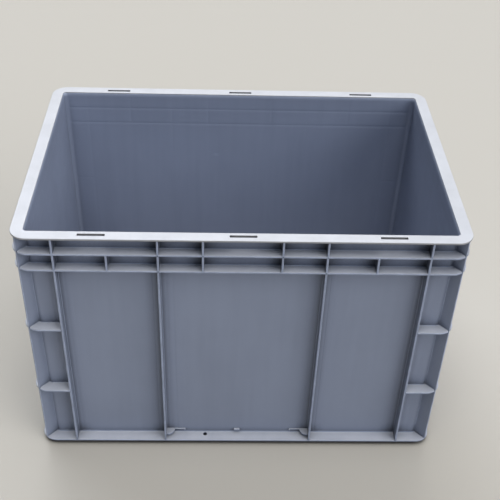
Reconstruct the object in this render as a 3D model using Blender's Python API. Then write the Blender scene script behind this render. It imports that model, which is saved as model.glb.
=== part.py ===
"""Rigid stacking crate, 600 x 400 x 400 mm, for standard 600 x 400 mm stacks.

The real crate is one plastic moulding. Here each region of the moulding that has
its own job is its own solid: walls, corner posts, rim bars, ribs, ledges and floor.
Metres, +Z up, origin at the centre of the underside, +X along the long side.

Side pieces are drawn once, for a side that faces -Y, and then turned about Z.
In that drawing, "along" runs along the side and "out" is the distance from the
crate's middle plane, so a drawing point (along, out) lies at (along, -out).
"""

import math

import bmesh
import bpy

# Driving dimensions of the whole crate
LENGTH = 0.600
WIDTH = 0.400
HEIGHT = 0.400
GAP = 0.0003  # clearance between neighbouring solids

# Walls
WALL_THICKNESS = 0.0025
WALL_INSET_AT_TOP = 0.0158  # from the crate's outer side to the wall's outer face
DRAFT = 0.006  # the walls lean in by this much for each unit of height, going down
INNER_CORNER_RADIUS = 0.007
OUTER_CORNER_RADIUS = INNER_CORNER_RADIUS + WALL_THICKNESS
POST_LEG = 0.032  # from the crate's outer side to where a post meets its wall panel

# Rim
RIM_WIDTH = 0.017
RIM_THICKNESS = 0.0028
RIM_CORNER_RADIUS = 0.023
RIM_OPENING_RADIUS = 0.005
SLOT_LENGTH = 0.0355
SLOT_WIDTH = 0.0044
SLOT_FROM_EDGE = 0.0097
SLOT_PITCH = 0.195

# Ribs and ledges on the outside
RIB_SETBACK = 0.0005  # the ribs stop this far inside the rim's outer side
RIB_THICKNESS = 0.0026
LEDGE_THICKNESS = 0.0024
LEDGE_CORNER_RADIUS = 0.022
BAND_LEDGE_HEIGHTS = {"upper": 0.3733, "lower": 0.3466}
CORNER_LEDGE_HEIGHTS = {"upper": 0.2390, "lower": 0.1175}
LONG_RIB_PLACES = {"outer_left": -0.246, "inner_left": -0.1105, "inner_right": 0.1105, "outer_right": 0.246}
SHORT_RIB_PLACES = {"left": -0.052, "right": 0.052}
STUB_RIB_PLACES = {"left": -0.1775, "right": 0.1775}
FIN_THICKNESS = 0.0024
FIN_ROOT = 0.001  # how deep a fin's foot sits inside its rounded corner post

# Ends
END_RIB_PLACES = {"a": -0.150, "b": 0.150}
BRACKET_STEP = 0.0001  # an end's ledges stop this far inside the edges of the rib they join
GRIP_HALF_WIDTH = 0.062
GRIP_DEPTH = 0.034
GRIP_SHELL_THICKNESS = 0.003
GRIP_CORNER_RADIUS = 0.009

# Base
STACKING_FOOT_HEIGHT = 0.007
FLANGE_THICKNESS = 0.0025
DRAIN_HOLE_RADIUS = 0.0024
DRAIN_HOLE_ALONG = -0.050
FLOOR_TOP = 0.007
FLOOR_THICKNESS = 0.003
FLOOR_RIB_THICKNESS = 0.0025
FLOOR_RIB_CLEARANCE = 0.0008  # the floor ribs stop this far above the ground
FLOOR_CELLS_ALONG = 10
FLOOR_CELLS_ACROSS = 7

# Label card clips, low on the front
CLIP_RADIUS = 0.0122
CLIP_THICKNESS = 0.0018
CLIP_HEIGHT = 0.0060  # above the flange
CLIP_FINGER_LENGTH = 0.0165
CLIP_FINGER_DEPTH = 0.0018
CLIP_FINGER_END = 0.0034
CLIP_ROUND_FROM = 105  # degrees from the crate's long direction
CLIP_ROUND_TO = 165
CARD_STOP_SIZE = (0.009, 0.003, 0.0036)  # along, out, up
CARD_STOP_HEIGHT = 0.0046  # above the flange
CARD_STOP_ALONG = -0.001

# Straight stretches that stand in for a round one
STEPS_SMALL = 4
STEPS_MIDDLE = 6
STEPS_LARGE = 8
STEPS_HOLE = 16

HALF_LENGTH = LENGTH / 2
HALF_WIDTH = WIDTH / 2
RIM_UNDERSIDE = HEIGHT - RIM_THICKNESS
FLANGE_TOP = STACKING_FOOT_HEIGHT + FLANGE_THICKNESS
RIB_BOTTOM = FLANGE_TOP + GAP
RIB_TOP = RIM_UNDERSIDE - GAP
ROOT_TWO = math.sqrt(2)

# A side's name, its turn about Z, its half length and its distance from the middle
SIDES = {
    "front": (0.0, HALF_LENGTH, HALF_WIDTH),
    "right": (math.pi / 2, HALF_WIDTH, HALF_LENGTH),
    "rear": (math.pi, HALF_LENGTH, HALF_WIDTH),
    "left": (-math.pi / 2, HALF_WIDTH, HALF_LENGTH),
}
LONG_SIDES = ("front", "rear")
ENDS = ("right", "left")


# ---------------------------------------------------------------- shared helpers


def clear_scene():
    for old in list(bpy.data.objects):
        bpy.data.objects.remove(old, do_unlink=True)


def plastic(name, color, roughness):
    material = bpy.data.materials.new(name)
    material.use_nodes = True
    shader = material.node_tree.nodes["Principled BSDF"]
    shader.inputs["Base Color"].default_value = (*color, 1.0)
    shader.inputs["Roughness"].default_value = roughness
    shader.inputs["Metallic"].default_value = 0.0
    return material


def arc(centre, radius, start, end, steps):
    """Points of an arc about centre, from angle start to angle end, both in degrees."""
    points = []
    for step in range(steps + 1):
        angle = math.radians(start + (end - start) * step / steps)
        points.append((centre[0] + radius * math.cos(angle), centre[1] + radius * math.sin(angle)))
    return points


def mirrored(points):
    """The points, then their mirror images in the line along = 0, as one closed outline."""
    return points + [(-along, out) for along, out in reversed(points)]


def loft_mesh(name, bottom, top, low, high):
    """A closed solid between two outlines in the XY plane that have the same number of points."""
    mesh = bpy.data.meshes.new(name)
    shape = bmesh.new()
    lower = [shape.verts.new((x, y, low)) for x, y in bottom]
    upper = [shape.verts.new((x, y, high)) for x, y in top]
    shape.faces.new(lower)
    shape.faces.new(upper)
    for i, corner in enumerate(lower):
        after = (i + 1) % len(lower)
        shape.faces.new((corner, lower[after], upper[after], upper[i]))
    bmesh.ops.recalc_face_normals(shape, faces=shape.faces)
    shape.to_mesh(mesh)
    shape.free()
    return mesh


def slab_mesh(name, outline, low, high):
    return loft_mesh(name, outline, outline, low, high)


def extruded_mesh(name, corners, along_vector):
    """A flat outline, given as points in space, moved along a vector to make a closed solid."""
    mesh = bpy.data.meshes.new(name)
    shape = bmesh.new()
    face = shape.faces.new([shape.verts.new(corner) for corner in corners])
    grown = bmesh.ops.extrude_face_region(shape, geom=[face])
    moved = [item for item in grown["geom"] if isinstance(item, bmesh.types.BMVert)]
    bmesh.ops.translate(shape, vec=along_vector, verts=moved)
    bmesh.ops.recalc_face_normals(shape, faces=shape.faces)
    shape.to_mesh(mesh)
    shape.free()
    return mesh


def upright_mesh(name, outline, along, thickness):
    """A vertical plate across a side: its outline has (out, height) points."""
    corners = [(along - thickness / 2, -out, height) for out, height in outline]
    return extruded_mesh(name, corners, (thickness, 0, 0))


def facing_mesh(name, outline, outside, inside):
    """A plate facing out of a side, between two distances out: its outline has (along, height) points."""
    corners = [(along, -outside, height) for along, height in outline]
    return extruded_mesh(name, corners, (0, outside - inside, 0))


def add_box(shape, low, high):
    made = bmesh.ops.create_cube(shape, size=1.0)["verts"]
    for vert in made:
        for axis in range(3):
            middle = (low[axis] + high[axis]) / 2
            vert.co[axis] = middle + vert.co[axis] * (high[axis] - low[axis])


def boxes_mesh(name, boxes):
    mesh = bpy.data.meshes.new(name)
    shape = bmesh.new()
    for low, high in boxes:
        add_box(shape, low, high)
    bmesh.ops.recalc_face_normals(shape, faces=shape.faces)
    shape.to_mesh(mesh)
    shape.free()
    return mesh


def place(name, mesh, material, turn=0.0):
    """One sub-part: an object with its material, turned about the crate's upright axis."""
    piece = bpy.data.objects.new(name, mesh)
    piece.rotation_euler = (0.0, 0.0, turn)
    piece.parent = crate
    if not mesh.materials:
        mesh.materials.append(material)
    mesh.shade_smooth()
    mesh.set_sharp_from_angle(angle=math.radians(35))
    bpy.context.scene.collection.objects.link(piece)
    return piece


def helper(name, mesh, turn=0.0):
    """A shape that only cuts or joins: left out of the build and of renders."""
    shape = bpy.data.objects.new(name, mesh)
    shape.rotation_euler = (0.0, 0.0, turn)
    shape.hide_render = True
    shape.display_type = "WIRE"
    bpy.context.scene.collection.objects.link(shape)
    return shape


def combine(piece, other, operation):
    modifier = piece.modifiers.new(operation.lower(), "BOOLEAN")
    modifier.operation = operation
    modifier.solver = "EXACT"
    modifier.object = other


def wall_face(half_depth, height):
    """How far out a wall's outer face is at a height: the walls lean in towards the base."""
    return half_depth - WALL_INSET_AT_TOP - DRAFT * (HEIGHT - height)


# ---------------------------------------------------------------- walls and posts


def wall_panel(side):
    turn, half_length, half_depth = SIDES[side]
    end = half_length - POST_LEG - GAP

    def section(height):
        face = -wall_face(half_depth, height)
        return [(-end, face), (end, face), (end, face + WALL_THICKNESS), (-end, face + WALL_THICKNESS)]

    mesh = loft_mesh(f"{side}_wall", section(0.0), section(RIB_TOP), 0.0, RIB_TOP)
    place(f"{side}_wall", mesh, shell, turn)


def post_section(height, sign_x, sign_y):
    """An L, rounded inside and outside, joining two wall panels at one height."""
    face_x = wall_face(HALF_LENGTH, height)
    face_y = wall_face(HALF_WIDTH, height)
    centre = (face_x - OUTER_CORNER_RADIUS, face_y - OUTER_CORNER_RADIUS)
    outline = [(HALF_LENGTH - POST_LEG, face_y - WALL_THICKNESS), (HALF_LENGTH - POST_LEG, face_y)]
    outline += arc(centre, OUTER_CORNER_RADIUS, 90, 0, STEPS_MIDDLE)
    outline += [(face_x, HALF_WIDTH - POST_LEG), (face_x - WALL_THICKNESS, HALF_WIDTH - POST_LEG)]
    outline += arc(centre, INNER_CORNER_RADIUS, 0, 90, STEPS_MIDDLE)
    return [(sign_x * x, sign_y * y) for x, y in outline]


def fin_section(height, sign_x, sign_y):
    """The 45 degree fin from inside a post out to the rounded line that the ledges follow."""
    shift = FIN_THICKNESS / 2 / ROOT_TWO
    root = OUTER_CORNER_RADIUS - (OUTER_CORNER_RADIUS - FIN_ROOT) / ROOT_TWO
    start_x = wall_face(HALF_LENGTH, height) - root
    start_y = wall_face(HALF_WIDTH, height) - root
    tip = RIB_SETBACK + LEDGE_CORNER_RADIUS * (1 - 1 / ROOT_TWO)
    tip_x = HALF_LENGTH - tip
    tip_y = HALF_WIDTH - tip
    outline = [
        (start_x - shift, start_y + shift),
        (tip_x - shift, tip_y + shift),
        (tip_x + shift, tip_y - shift),
        (start_x + shift, start_y - shift),
    ]
    return [(sign_x * x, sign_y * y) for x, y in outline]


def corner_post(name, sign_x, sign_y):
    post = loft_mesh(
        name, post_section(0.0, sign_x, sign_y), post_section(RIB_TOP, sign_x, sign_y), 0.0, RIB_TOP
    )
    fin = loft_mesh(
        f"{name}_fin",
        fin_section(RIB_BOTTOM, sign_x, sign_y),
        fin_section(RIB_TOP, sign_x, sign_y),
        RIB_BOTTOM,
        RIB_TOP,
    )
    combine(place(name, post, shell), helper(f"{name}_fin", fin), "UNION")


# ---------------------------------------------------------------- rim


def rim_outline(half_length, half_depth):
    """A rim bar seen from above, mitred at both ends, as (along, out) points."""
    outer_centre = (half_length - RIM_CORNER_RADIUS, half_depth - RIM_CORNER_RADIUS)
    opening = RIM_WIDTH + RIM_OPENING_RADIUS
    inner_centre = (half_length - opening, half_depth - opening)
    outer_stop = 45 + math.degrees(GAP / 2 / RIM_CORNER_RADIUS)
    inner_stop = 45 + math.degrees(GAP / 2 / RIM_OPENING_RADIUS)
    half = arc(inner_centre, RIM_OPENING_RADIUS, 90, inner_stop, STEPS_SMALL)
    half += arc(outer_centre, RIM_CORNER_RADIUS, outer_stop, 90, STEPS_LARGE)
    return mirrored(half)


def rim_bar(side):
    turn, half_length, half_depth = SIDES[side]
    outline = [(along, -out) for along, out in rim_outline(half_length, half_depth)]
    mesh = slab_mesh(f"rim_{side}", outline, RIM_UNDERSIDE, HEIGHT)
    bar = place(f"rim_{side}", mesh, rim_plastic, turn)
    if side in LONG_SIDES:
        combine(bar, helper(f"rim_{side}_slots", slot_cutters(), turn), "DIFFERENCE")


def slot_cutters():
    middle = -(HALF_WIDTH - SLOT_FROM_EDGE)
    boxes = []
    for along in (-SLOT_PITCH, 0.0, SLOT_PITCH):
        low = (along - SLOT_LENGTH / 2, middle - SLOT_WIDTH / 2, RIM_UNDERSIDE - RIM_THICKNESS)
        high = (along + SLOT_LENGTH / 2, middle + SLOT_WIDTH / 2, HEIGHT + RIM_THICKNESS)
        boxes.append((low, high))
    return boxes_mesh("slot_cutters", boxes)


# ---------------------------------------------------------------- ledges and ribs


def lap_depth(half_depth):
    """Where a band ledge and a rib that cross are lapped: halfway between wall and rib edge."""
    return half_depth - (WALL_INSET_AT_TOP + RIB_SETBACK) / 2


def ledge_end(half_length, half_depth, inner_out, clear):
    """The end of a ledge: along the post's round, out beside the 45 degree line, back to the front edge.

    It stays clear of the 45 degree line by the given distance.
    """
    inner_radius = OUTER_CORNER_RADIUS + GAP
    inner_centre = (half_length - half_depth + inner_out - inner_radius, inner_out - inner_radius)
    inner_stop = 45 + math.degrees(math.asin(clear / inner_radius))
    radius = LEDGE_CORNER_RADIUS
    centre = (half_length - RIB_SETBACK - radius, half_depth - RIB_SETBACK - radius)
    start = 45 + math.degrees(math.asin(clear / radius))
    end = arc(inner_centre, inner_radius, 90, inner_stop, STEPS_SMALL)
    return end + arc(centre, radius, start, 90, STEPS_MIDDLE)


def notched_front(end, places, half_depth):
    """A ledge's right half: its rounded end, then a notch in the front edge at each crossing rib."""
    front = half_depth - RIB_SETBACK
    notch = lap_depth(half_depth) - GAP / 2
    half_gap = RIB_THICKNESS / 2 + GAP
    points = list(end)
    for along in sorted(places, reverse=True):
        points += [
            (along + half_gap, front),
            (along + half_gap, notch),
            (along - half_gap, notch),
            (along - half_gap, front),
        ]
    return points


def ledge_levels(centre):
    return centre - LEDGE_THICKNESS / 2, centre + LEDGE_THICKNESS / 2


def band_ledge(side, level, places):
    turn, half_length, half_depth = SIDES[side]
    low, high = ledge_levels(BAND_LEDGE_HEIGHTS[level])
    inner_out = wall_face(half_depth, high) + GAP
    end = ledge_end(half_length, half_depth, inner_out, FIN_THICKNESS / 2 + GAP)
    right = notched_front(end, [along for along in places if along > 0], half_depth)
    outline = [(along, -out) for along, out in mirrored(right)]
    name = f"{side}_band_ledge_{level}"
    place(name, slab_mesh(name, outline, low, high), shell, turn)


def corner_ledge(side, hand, level):
    """A short ledge between a corner fin and the outer long rib beside it."""
    turn, half_length, half_depth = SIDES[side]
    sign = -1 if hand == "left" else 1
    low, high = ledge_levels(CORNER_LEDGE_HEIGHTS[level])
    inner_out = wall_face(half_depth, high) + GAP
    rib_side = LONG_RIB_PLACES["outer_right"] + RIB_THICKNESS / 2 + GAP
    points = [(rib_side, inner_out)]
    points += ledge_end(half_length, half_depth, inner_out, FIN_THICKNESS / 2 + GAP)
    points.append((rib_side, half_depth - RIB_SETBACK))
    outline = [(sign * along, -out) for along, out in points]
    name = f"{side}_corner_ledge_{level}_{hand}"
    place(name, slab_mesh(name, outline, low, high), shell, turn)


def rib_outline(half_depth, bottom, top, crossings):
    """A rib's outline: straight outside, along the leaning wall inside, lapped at each ledge."""
    outside = half_depth - RIB_SETBACK
    lap = lap_depth(half_depth) + GAP / 2
    outline = [(outside, bottom), (outside, top), (wall_face(half_depth, top) + GAP, top)]
    for centre in sorted(crossings, reverse=True):
        low, high = ledge_levels(centre)
        outline += [
            (wall_face(half_depth, high + GAP) + GAP, high + GAP),
            (lap, high + GAP),
            (lap, low - GAP),
            (wall_face(half_depth, low - GAP) + GAP, low - GAP),
        ]
    outline.append((wall_face(half_depth, bottom) + GAP, bottom))
    return outline


def rib(side, name, along, bottom, top, crossings):
    turn, _, half_depth = SIDES[side]
    outline = rib_outline(half_depth, bottom, top, crossings)
    place(name, upright_mesh(name, outline, along, RIB_THICKNESS), shell, turn)


def side_ribs(side):
    upper = BAND_LEDGE_HEIGHTS["upper"]
    lower = BAND_LEDGE_HEIGHTS["lower"]
    above_lower = ledge_levels(lower)[1] + GAP
    below_upper = ledge_levels(upper)[0] - GAP
    for where, along in LONG_RIB_PLACES.items():
        rib(side, f"{side}_long_rib_{where}", along, RIB_BOTTOM, RIB_TOP, (upper, lower))
    for where, along in SHORT_RIB_PLACES.items():
        rib(side, f"{side}_short_rib_{where}", along, above_lower, RIB_TOP, (upper,))
    for where, along in STUB_RIB_PLACES.items():
        rib(side, f"{side}_stub_rib_{where}", along, above_lower, below_upper, ())


# ---------------------------------------------------------------- ends


def end_bracket(side, which, sign):
    """A rib beside the grip with the two band ledges that run from it to the end rib."""
    turn, _, half_depth = SIDES[side]
    grip_side = GRIP_HALF_WIDTH + GAP
    far = END_RIB_PLACES["b"] - RIB_THICKNESS / 2 - GAP
    bottom = ledge_levels(BAND_LEDGE_HEIGHTS["lower"])[0]
    outline = [(grip_side, bottom), (far, bottom)]
    for level in ("lower", "upper"):
        low, high = ledge_levels(BAND_LEDGE_HEIGHTS[level])
        if level == "upper":
            outline += [(grip_side + RIB_THICKNESS, low), (far, low)]
        outline += [(far, high), (grip_side + RIB_THICKNESS, high)]
    outline += [(grip_side + RIB_THICKNESS, RIB_TOP), (grip_side, RIB_TOP)]
    name = f"{side}_grip_bracket_{which}"
    outline = [(sign * along, height) for along, height in outline]
    inside = wall_face(half_depth, RIB_TOP) + GAP
    place(name, facing_mesh(name, outline, half_depth - RIB_SETBACK, inside), shell, turn)


def grip_shell(side):
    """A plate hanging from the rim between the brackets: fingers go up behind it."""
    turn, _, half_depth = SIDES[side]
    outside = half_depth - RIB_SETBACK
    half_width = GRIP_HALF_WIDTH - GAP
    centre = (half_width - GRIP_CORNER_RADIUS, RIB_TOP - GRIP_DEPTH + GRIP_CORNER_RADIUS)
    right = [(half_width, RIB_TOP)] + arc(centre, GRIP_CORNER_RADIUS, 0, -90, STEPS_MIDDLE)
    name = f"{side}_grip_shell"
    mesh = facing_mesh(name, mirrored(right), outside, outside - GRIP_SHELL_THICKNESS)
    place(name, mesh, shell, turn)


def bracket_ledge_outline(half_length, half_depth, height, sign):
    """An end's ledge seen from above, from the middle of its end rib to the corner fin."""
    rib_middle = END_RIB_PLACES["b"]
    inner_out = wall_face(half_depth, height) + GAP + BRACKET_STEP
    front = half_depth - RIB_SETBACK - BRACKET_STEP
    points = [(rib_middle, inner_out)]
    points += ledge_end(half_length, half_depth, inner_out, FIN_THICKNESS / 2 + GAP)
    points.append((rib_middle, front))
    return [(sign * along, -min(out, front)) for along, out in points]


def corner_bracket(side, which, sign):
    """An end rib with the four ledges that run from it to the corner fin, level with the long sides' ledges."""
    turn, half_length, half_depth = SIDES[side]
    outline = rib_outline(half_depth, RIB_BOTTOM, RIB_TOP, ())
    name = f"{side}_corner_bracket_{which}"
    upright = upright_mesh(name, outline, END_RIB_PLACES[which], RIB_THICKNESS)
    bracket = place(name, upright, shell, turn)
    for level, centre in (*BAND_LEDGE_HEIGHTS.items(), *CORNER_LEDGE_HEIGHTS.items()):
        low, high = ledge_levels(centre)
        ledge_name = f"{name}_{level}_{round(centre * 1000)}"
        ledge = slab_mesh(ledge_name, bracket_ledge_outline(half_length, half_depth, high, sign), low, high)
        combine(bracket, helper(ledge_name, ledge, turn), "UNION")


# ---------------------------------------------------------------- base


def flange(side):
    """The ledge round the foot: a lower crate's rim carries it when crates are stacked."""
    turn, half_length, half_depth = SIDES[side]
    inner_out = wall_face(half_depth, FLANGE_TOP) + GAP
    half = ledge_end(half_length, half_depth, inner_out, GAP / 2)
    outline = [(along, -out) for along, out in mirrored(half)]
    mesh = slab_mesh(f"{side}_base_flange", outline, STACKING_FOOT_HEIGHT, FLANGE_TOP)
    piece = place(f"{side}_base_flange", mesh, shell, turn)
    if side == "front":
        combine(piece, helper("drain_hole", drain_hole_cutter(inner_out)), "DIFFERENCE")


def drain_hole_cutter(inner_out):
    middle = (DRAIN_HOLE_ALONG, -(inner_out + 2 * DRAIN_HOLE_RADIUS))
    circle = arc(middle, DRAIN_HOLE_RADIUS, 0, 360, STEPS_HOLE)[:-1]
    return slab_mesh("drain_hole", circle, 0.0, FLANGE_TOP + FLANGE_THICKNESS)


def floor_panel():
    """The inside floor, flat on top, with a grid of ribs below between the feet of the walls."""
    face_x = wall_face(HALF_LENGTH, 0.0) - WALL_THICKNESS - GAP
    face_y = wall_face(HALF_WIDTH, 0.0) - WALL_THICKNESS - GAP
    radius = INNER_CORNER_RADIUS - GAP
    outline = []
    for sign_x, sign_y, start in ((1, 1, 0), (-1, 1, 90), (-1, -1, 180), (1, -1, 270)):
        centre = (sign_x * (face_x - radius), sign_y * (face_y - radius))
        outline += arc(centre, radius, start, start + 90, STEPS_MIDDLE)
    panel = slab_mesh("floor_panel", outline, FLOOR_RIB_CLEARANCE, FLOOR_TOP)
    cells = helper("floor_cells", floor_cell_cutters(face_x, face_y))
    combine(place("floor_panel", panel, shell), cells, "DIFFERENCE")


def floor_cell_cutters(face_x, face_y):
    pitch_x = (2 * face_x - FLOOR_RIB_THICKNESS) / FLOOR_CELLS_ALONG
    pitch_y = (2 * face_y - FLOOR_RIB_THICKNESS) / FLOOR_CELLS_ACROSS
    rounding = INNER_CORNER_RADIUS / 2
    boxes = []
    for column in range(FLOOR_CELLS_ALONG):
        for row in range(FLOOR_CELLS_ACROSS):
            left = -face_x + FLOOR_RIB_THICKNESS + column * pitch_x
            near = -face_y + FLOOR_RIB_THICKNESS + row * pitch_y
            right = left + pitch_x - FLOOR_RIB_THICKNESS
            far = near + pitch_y - FLOOR_RIB_THICKNESS
            # The four corner cells stay clear of the panel's rounded corners.
            left += rounding if column == 0 else 0
            right -= rounding if column == FLOOR_CELLS_ALONG - 1 else 0
            near += rounding if row == 0 else 0
            far -= rounding if row == FLOOR_CELLS_ACROSS - 1 else 0
            boxes.append(((left, near, -FLOOR_TOP), (right, far, FLOOR_TOP - FLOOR_THICKNESS)))
    return boxes_mesh("floor_cells", boxes)


# ---------------------------------------------------------------- label card clips


def card_clip(hand):
    """A quarter-round tab beside an inner long rib, with a hooked finger along the wall."""
    sign = -1 if hand == "left" else 1
    low = FLANGE_TOP + CLIP_HEIGHT
    high = low + CLIP_THICKNESS
    wall = wall_face(HALF_WIDTH, high) + GAP
    rib_side = LONG_RIB_PLACES["inner_right"] - RIB_THICKNESS / 2 - GAP
    tip = rib_side - CLIP_RADIUS - CLIP_FINGER_LENGTH
    hook = tip + CLIP_THICKNESS
    points = [(rib_side, wall), (rib_side, wall + CLIP_RADIUS)]
    points += arc((rib_side, wall), CLIP_RADIUS, CLIP_ROUND_FROM, CLIP_ROUND_TO, STEPS_SMALL)
    points += [
        (rib_side - CLIP_RADIUS, wall + CLIP_FINGER_DEPTH),
        (hook, wall + CLIP_FINGER_DEPTH),
        (hook, wall + CLIP_FINGER_END),
        (tip, wall + CLIP_FINGER_END),
        (tip, wall),
    ]
    outline = [(sign * along, -out) for along, out in points]
    name = f"front_card_clip_{hand}"
    place(name, slab_mesh(name, outline, low, high), shell)


def card_stop():
    along, out, up = CARD_STOP_SIZE
    bottom = FLANGE_TOP + CARD_STOP_HEIGHT
    top = bottom + up
    wall = wall_face(HALF_WIDTH, top) + GAP
    low = (CARD_STOP_ALONG - along / 2, -wall - out, bottom)
    high = (CARD_STOP_ALONG + along / 2, -wall, top)
    place("front_card_stop", boxes_mesh("front_card_stop", [(low, high)]), shell)


# ---------------------------------------------------------------- assembly


def build():
    for side in SIDES:
        wall_panel(side)
        rim_bar(side)
        flange(side)
    for name, sign_x, sign_y in (
        ("corner_post_front_left", -1, -1),
        ("corner_post_front_right", 1, -1),
        ("corner_post_rear_left", -1, 1),
        ("corner_post_rear_right", 1, 1),
    ):
        corner_post(name, sign_x, sign_y)
    floor_panel()
    for side in LONG_SIDES:
        band_ledge(side, "upper", list(LONG_RIB_PLACES.values()) + list(SHORT_RIB_PLACES.values()))
        band_ledge(side, "lower", list(LONG_RIB_PLACES.values()))
        side_ribs(side)
        for hand in ("left", "right"):
            for level in CORNER_LEDGE_HEIGHTS:
                corner_ledge(side, hand, level)
    for side in ENDS:
        grip_shell(side)
        for which, sign in (("a", -1), ("b", 1)):
            corner_bracket(side, which, sign)
            end_bracket(side, which, sign)
    for hand in ("left", "right"):
        card_clip(hand)
    card_stop()


clear_scene()
crate = bpy.data.objects.new("crate", None)
bpy.context.scene.collection.objects.link(crate)
shell = plastic("blue_grey_plastic", (0.165, 0.190, 0.235), 0.45)
rim_plastic = plastic("rim_blue_grey_plastic", (0.190, 0.215, 0.260), 0.40)
build()
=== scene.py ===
"""Looks of the rigid stacking crate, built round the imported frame.

The crate is one plastic moulding. Its walls and floor are one tub here, its rim one
frame and its base flange one ring, and the ribs and ledges are pieces that grow out of
the tub with moulded root fillets and rounded edges. Metres, +Z up.

A side's own coordinates are (along, out, z): along runs along the side, out is the
distance from the crate's middle plane. SIDES holds what turns them into the crate's frame.
"""

import math

import bmesh
import bpy
from mathutils import Matrix, Vector


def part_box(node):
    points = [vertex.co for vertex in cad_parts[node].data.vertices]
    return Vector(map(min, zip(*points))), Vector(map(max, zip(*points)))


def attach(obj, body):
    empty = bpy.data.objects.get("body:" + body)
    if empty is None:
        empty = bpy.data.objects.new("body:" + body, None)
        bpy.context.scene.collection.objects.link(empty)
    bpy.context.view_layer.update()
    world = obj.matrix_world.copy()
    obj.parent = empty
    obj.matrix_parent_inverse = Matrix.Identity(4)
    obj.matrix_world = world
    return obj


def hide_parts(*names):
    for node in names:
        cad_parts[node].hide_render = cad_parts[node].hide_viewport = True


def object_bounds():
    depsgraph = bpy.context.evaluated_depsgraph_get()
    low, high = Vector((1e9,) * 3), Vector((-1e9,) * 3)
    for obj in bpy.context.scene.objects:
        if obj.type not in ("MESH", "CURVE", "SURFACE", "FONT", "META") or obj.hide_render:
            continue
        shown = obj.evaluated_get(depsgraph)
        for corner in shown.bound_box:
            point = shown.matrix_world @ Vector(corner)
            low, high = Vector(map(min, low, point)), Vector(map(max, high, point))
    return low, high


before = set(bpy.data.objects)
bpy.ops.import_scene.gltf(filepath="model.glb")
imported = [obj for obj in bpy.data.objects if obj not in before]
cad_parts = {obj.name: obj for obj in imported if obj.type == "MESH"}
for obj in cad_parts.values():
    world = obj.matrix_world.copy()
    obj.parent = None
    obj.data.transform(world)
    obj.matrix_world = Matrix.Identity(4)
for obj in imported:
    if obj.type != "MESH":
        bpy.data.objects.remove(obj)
cad_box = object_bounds()

# ------------------------------------------------------------- sizes from the frame

HIGHEST = Vector(cad_box[1])
HALF_LENGTH = HIGHEST.x
HALF_WIDTH = HIGHEST.y
TOP = HIGHEST.z

FRONT_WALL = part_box("front_wall")
RIM_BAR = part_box("rim_front")
FLANGE_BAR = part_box("front_base_flange")
FLOOR_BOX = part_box("floor_panel")

RIM_UNDERSIDE = RIM_BAR[0].z
FLANGE_LOW = FLANGE_BAR[0].z
FLANGE_HIGH = FLANGE_BAR[1].z
FLOOR_TOP = FLOOR_BOX[1].z
FLANGE_SETBACK = HALF_WIDTH + FLANGE_BAR[0].y

WALL_THICKNESS = 0.0025
WALL_TOP_INSET = HALF_WIDTH + FRONT_WALL[0].y
WALL_FOOT_INSET = HALF_WIDTH + FRONT_WALL[1].y - WALL_THICKNESS
RIM_WIDTH = 0.017
RIM_OUTER_RADIUS = 0.023
RIM_INNER_RADIUS = 0.005
LEDGE_RADIUS = 0.022
TUB_INNER_RADIUS = 0.007
TUB_OUTER_RADIUS = TUB_INNER_RADIUS + WALL_THICKNESS
FLOOR_THICKNESS = 0.003
FLOOR_FILLET = 0.004
FIN_THICKNESS = 0.0024
LEDGE_THICKNESS = 0.0024

# Moulded details that the CAD solids leave out
ROOT_FILLET = 0.0011
FLANGE_FILLET = 0.0022
EDGE_ROUND = 0.0005
RIM_EDGE_ROUND = 0.0007

EMBED = 0.0009  # how far a piece's root reaches into the piece it grows from
SMOOTH_ANGLE = 40.0  # degrees; an edge that turns more than this stays sharp

# For each side: the directions of along and out, half its length, and its distance from the middle
SIDES = {
    "front": (Vector((1, 0, 0)), Vector((0, -1, 0)), HALF_LENGTH, HALF_WIDTH),
    "right": (Vector((0, 1, 0)), Vector((1, 0, 0)), HALF_WIDTH, HALF_LENGTH),
    "rear": (Vector((-1, 0, 0)), Vector((0, 1, 0)), HALF_LENGTH, HALF_WIDTH),
    "left": (Vector((0, -1, 0)), Vector((-1, 0, 0)), HALF_WIDTH, HALF_LENGTH),
}


def side_of(node):
    """The side a CAD node's name says it is on."""
    return node.split("_")[0]


def side_box(node):
    """A CAD node's box in its side's own coordinates: (lowest, highest) corners."""
    along_axis, out_axis, _, _ = SIDES[side_of(node)]
    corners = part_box(node)
    alongs = sorted(corner.dot(along_axis) for corner in corners)
    outs = sorted(corner.dot(out_axis) for corner in corners)
    return Vector((alongs[0], outs[0], corners[0].z)), Vector((alongs[1], outs[1], corners[1].z))


def wall_inset(z):
    """How far the wall's outer face is inside the crate's outer side at height z."""
    return WALL_FOOT_INSET + (WALL_TOP_INSET - WALL_FOOT_INSET) * z / FRONT_WALL[1].z


# ------------------------------------------------------------- mesh helpers


def mesh_object(name, shape):
    """Turns a bmesh into an object in the scene."""
    mesh = bpy.data.meshes.new(name)
    shape.to_mesh(mesh)
    shape.free()
    made = bpy.data.objects.new(name, mesh)
    bpy.context.scene.collection.objects.link(made)
    return made


def finished(name, shape, slot, replaced):
    """Turns a bmesh into a piece on the crate's one body that stands for the replaced nodes."""
    bmesh.ops.recalc_face_normals(shape, faces=shape.faces)
    piece = mesh_object(name, shape)
    piece.data.materials.append(MATERIALS[slot])
    shade(piece)
    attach(piece, "root")
    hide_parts(*replaced)
    return piece


def side_piece(node_name, shape, sign=1):
    """Finishes a shape drawn with x along and y out from its side; sign -1 mirrors it."""
    along_axis, out_axis, _, _ = SIDES[side_of(node_name)]
    turn = Matrix((along_axis * sign, out_axis, (0, 0, 1))).transposed()
    for vert in shape.verts:
        vert.co = turn @ vert.co
    return finished(node_name, shape, "shell_plastic", [node_name])


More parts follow.
